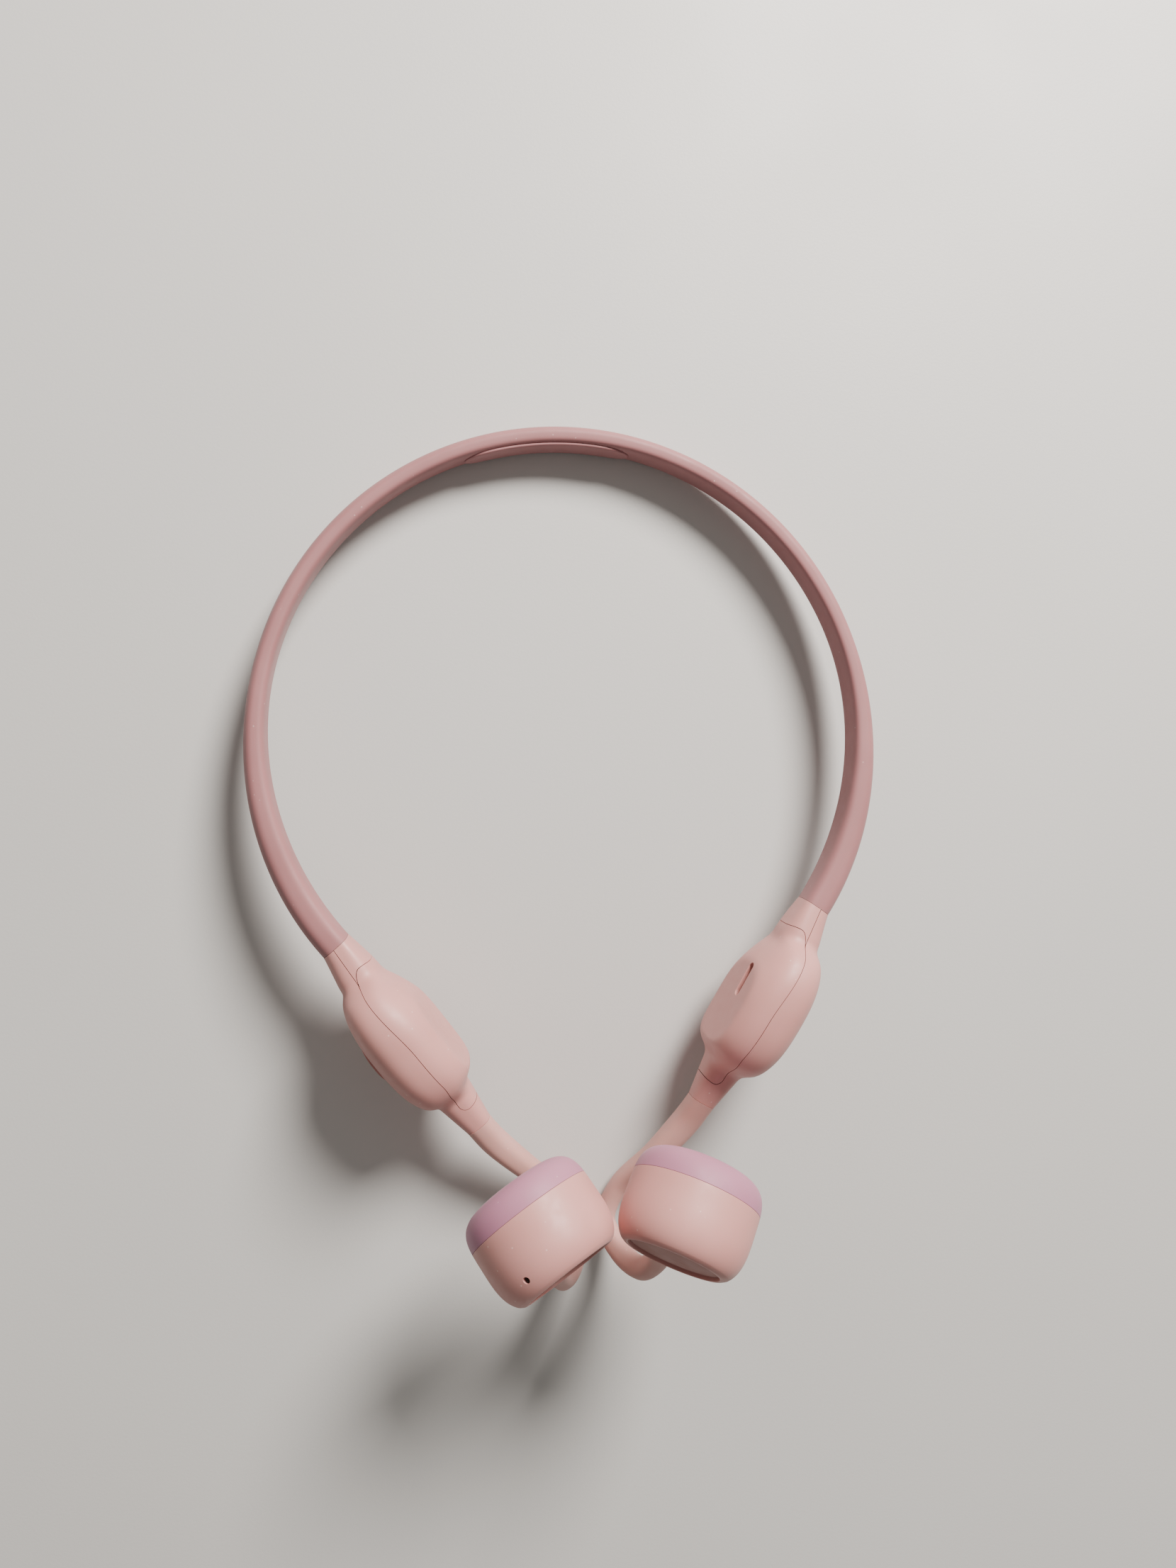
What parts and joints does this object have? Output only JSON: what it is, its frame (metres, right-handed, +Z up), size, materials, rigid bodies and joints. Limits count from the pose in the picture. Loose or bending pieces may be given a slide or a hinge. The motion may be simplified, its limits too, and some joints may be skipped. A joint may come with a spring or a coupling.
{
  "type": "bone conduction headphones",
  "caption": "Wraparound headphones with a springy neckband, electronics pods, ear hooks and round bone conduction transducers, set down upside down.",
  "frame": {"origin": "middle of the bottom face of the bounding box, as the headphones stand upside down on a table", "axes": "+Z up as set down, +Y towards the back of the neckband, +X towards the side whose pod has the volume buttons; the shape is mirrored about X = 0"},
  "size_m": [0.1246, 0.1716, 0.0529],
  "materials": {
    "band_silicone": "soft matt silicone over a spring wire",
    "pod_plastic": "satin moulded plastic with a soft-touch coat",
    "arm_silicone": "soft matt silicone",
    "cap_silicone": "soft matt silicone",
    "plate_plastic": "matt moulded plastic",
    "button_silicone": "matt silicone",
    "spring_titanium": "drawn wire",
    "lead_jacket": "smooth jacket",
    "steel": "pressed sheet",
    "magnet_nickel": "nickel plating",
    "copper": "enamelled wire",
    "gold": "gold plating",
    "board_green": "solder mask",
    "cell_foil": "smooth foil",
    "lens": "clear moulded plastic"
  },
  "bodies": {
    "neckband": {"neckband_middle": "band_silicone", "neckband_inner_pad": "band_silicone", "middle_spring_wire": "spring_titanium", "middle_lead": "lead_jacket"},
    "right_side": {"right_neckband": "band_silicone", "right_spring_wire": "spring_titanium", "right_lead": "lead_jacket", "right_neck_clip": "pod_plastic", "right_pod_inner_cover": "pod_plastic", "right_pod_outer_shell": "pod_plastic", "right_arm_root": "arm_silicone", "volume_down_switch": "steel", "volume_up_switch": "steel", "status_light": "lens", "charge_contact_front": "gold", "charge_contact_back": "gold", "charge_magnet": "magnet_nickel", "circuit_board": "board_green"},
    "right_hook": {"right_ear_hook": "arm_silicone", "right_hook_wire": "spring_titanium", "right_hook_lead": "lead_jacket", "right_transducer_housing": "pod_plastic", "right_transducer_cap": "cap_silicone", "right_contact_plate": "plate_plastic", "right_vibration_plate": "steel", "right_magnet_yoke": "steel", "right_drive_magnet": "magnet_nickel", "right_voice_coil": "copper"},
    "left_side": {"left_neckband": "band_silicone", "left_spring_wire": "spring_titanium", "left_lead": "lead_jacket", "left_neck_clip": "pod_plastic", "left_pod_inner_cover": "pod_plastic", "left_pod_outer_shell": "pod_plastic", "left_arm_root": "arm_silicone", "call_switch": "steel", "battery": "cell_foil"},
    "left_hook": {"left_ear_hook": "arm_silicone", "left_hook_wire": "spring_titanium", "left_hook_lead": "lead_jacket", "left_transducer_housing": "pod_plastic", "left_transducer_cap": "cap_silicone", "left_contact_plate": "plate_plastic", "left_vibration_plate": "steel", "left_magnet_yoke": "steel", "left_drive_magnet": "magnet_nickel", "left_voice_coil": "copper"},
    "volume_down": {"volume_down_button": "button_silicone"},
    "volume_up": {"volume_up_button": "button_silicone"},
    "call": {"call_button": "button_silicone"}
  },
  "joints": [
    {"name": "right_band_flex", "type": "hinge", "parent": "neckband", "child": "right_side", "pos_m": [0.03863, 0.06986, 0.00559], "axis": [0, 0, 1], "range_deg": [0, 25], "stiffness_Nm_per_rad": 0.33},
    {"name": "right_arm_flex", "type": "hinge", "parent": "right_side", "child": "right_hook", "pos_m": [0.02004, -0.05529, 0.01069], "axis": [0, 0, 1], "range_deg": [0, 10], "stiffness_Nm_per_rad": 0.2},
    {"name": "left_band_flex", "type": "hinge", "parent": "neckband", "child": "left_side", "pos_m": [-0.03863, 0.06986, 0.00559], "axis": [0, 0, -1], "range_deg": [0, 25], "stiffness_Nm_per_rad": 0.33},
    {"name": "left_arm_flex", "type": "hinge", "parent": "left_side", "child": "left_hook", "pos_m": [-0.02004, -0.05529, 0.01069], "axis": [0, 0, -1], "range_deg": [0, 10], "stiffness_Nm_per_rad": 0.2},
    {"name": "volume_down_press", "type": "slide", "parent": "right_side", "child": "volume_down", "axis": [0, 0, 1], "range_m": [0, 0.0005], "stiffness_N_per_m": 1500, "springref_m": -0.0002},
    {"name": "volume_up_press", "type": "slide", "parent": "right_side", "child": "volume_up", "axis": [0, 0, 1], "range_m": [0, 0.0005], "stiffness_N_per_m": 1500, "springref_m": -0.0002},
    {"name": "call_press", "type": "slide", "parent": "left_side", "child": "call", "axis": [0.8387, 0.5446, 0], "range_m": [0, 0.0005], "stiffness_N_per_m": 1500, "springref_m": -0.0002}
  ]
}
